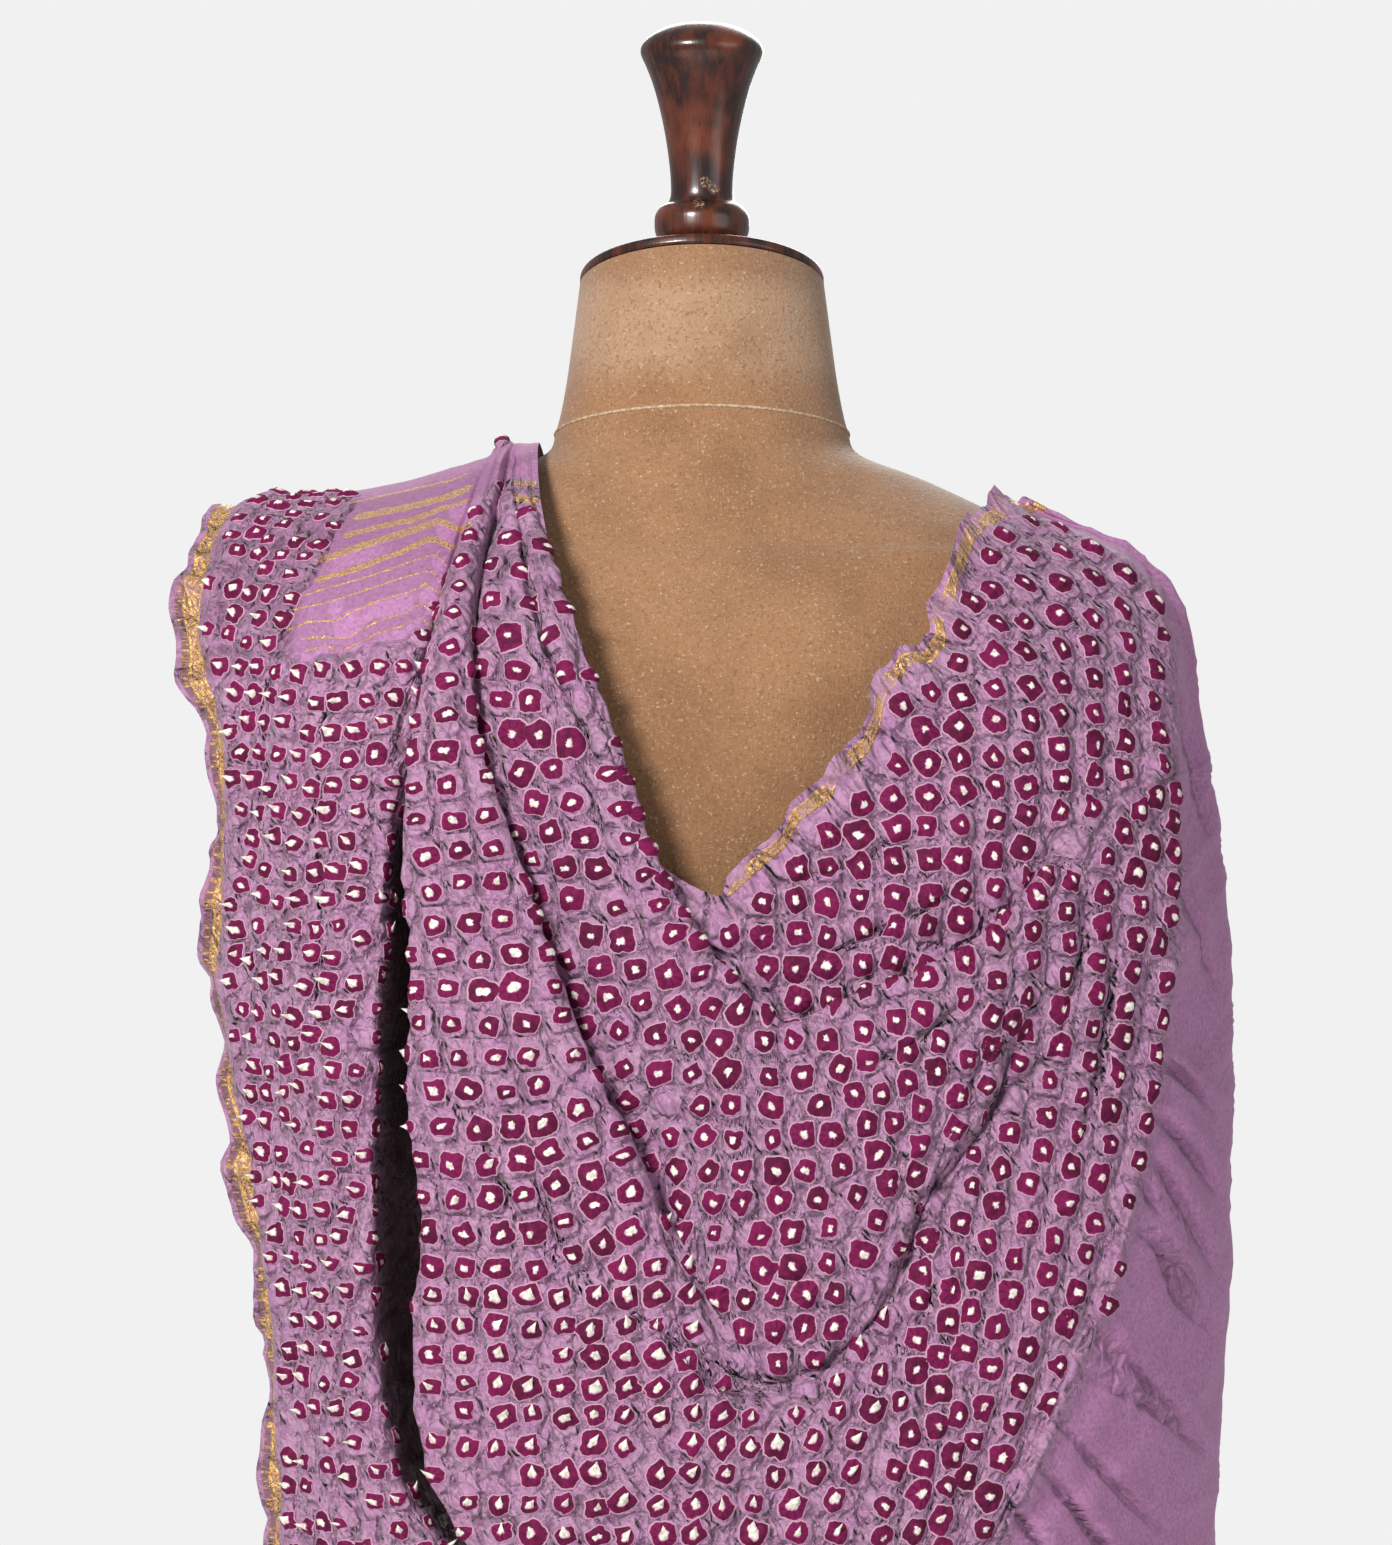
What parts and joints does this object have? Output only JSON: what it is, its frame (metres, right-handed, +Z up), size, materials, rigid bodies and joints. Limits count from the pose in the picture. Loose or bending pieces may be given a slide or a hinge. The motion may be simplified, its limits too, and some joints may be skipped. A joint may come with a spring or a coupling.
{
  "type": "bandhani shawl on a dress form",
  "caption": "Crinkled tie-dyed shawl with woven gold borders, draped in pleats and a cowl over a tabletop dress form with a turned wooden finial.",
  "frame": {"origin": "middle of the dress form's flat foot, on the surface it stands on", "axes": "+Z up along the form; -Y towards the side where the neckline and the folds show; +X to that view's right"},
  "size_m": [0.4558, 0.282, 0.8296],
  "materials": {
    "bandhani": "crinkled matt, lilac with magenta tie-dyed rings and woven gold borders",
    "cover": "tan velvety linen, worn",
    "dark_wood": "turned and polished, semi-gloss"
  },
  "bodies": {
    "root": {"bandhani_shawl": "bandhani", "form_body": "cover", "neck_cap": "dark_wood", "finial": "dark_wood"}
  },
  "joints": []
}
